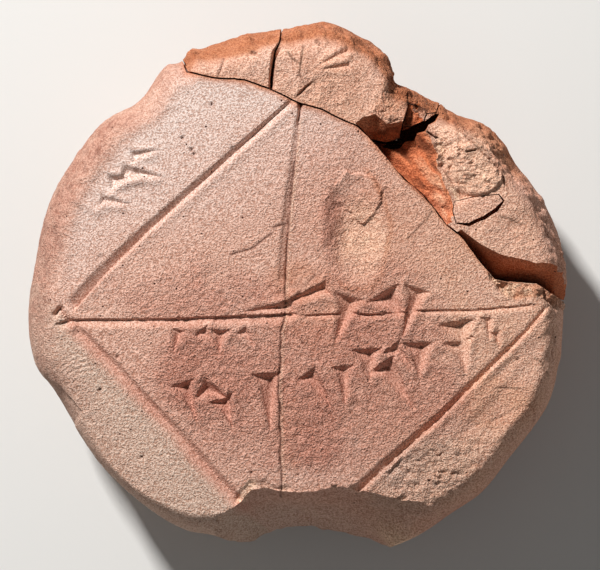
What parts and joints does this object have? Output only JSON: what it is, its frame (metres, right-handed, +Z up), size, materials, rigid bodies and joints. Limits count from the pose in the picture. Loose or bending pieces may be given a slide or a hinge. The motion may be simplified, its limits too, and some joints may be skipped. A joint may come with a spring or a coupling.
{
  "type": "cuneiform tablet",
  "caption": "Round hand-sized clay tablet, flat on top and domed below, with an incised square and diagonals, rows of pressed strokes and mended rim sherds.",
  "frame": {"origin": "middle of the tablet's plan outline, at the height of the surface it lies on", "axes": "+Z up, out of the inscribed face; +X to the reader's right; +Y towards the top of the inscribed face"},
  "size_m": [0.0799, 0.0779, 0.026],
  "materials": {
    "clay_body": "dry matte lightly fired clay, pinkish buff",
    "clay_rim": "dry matte clay, more orange at the rim",
    "clay_fracture": "rough granular orange fracture"
  },
  "bodies": {
    "root": {"body": "clay_body", "top_left_sherd": "clay_rim", "top_sherd": "clay_rim", "bridge_chip": "clay_fracture", "right_sherd": "clay_fracture", "flake": "clay_rim"}
  },
  "joints": []
}
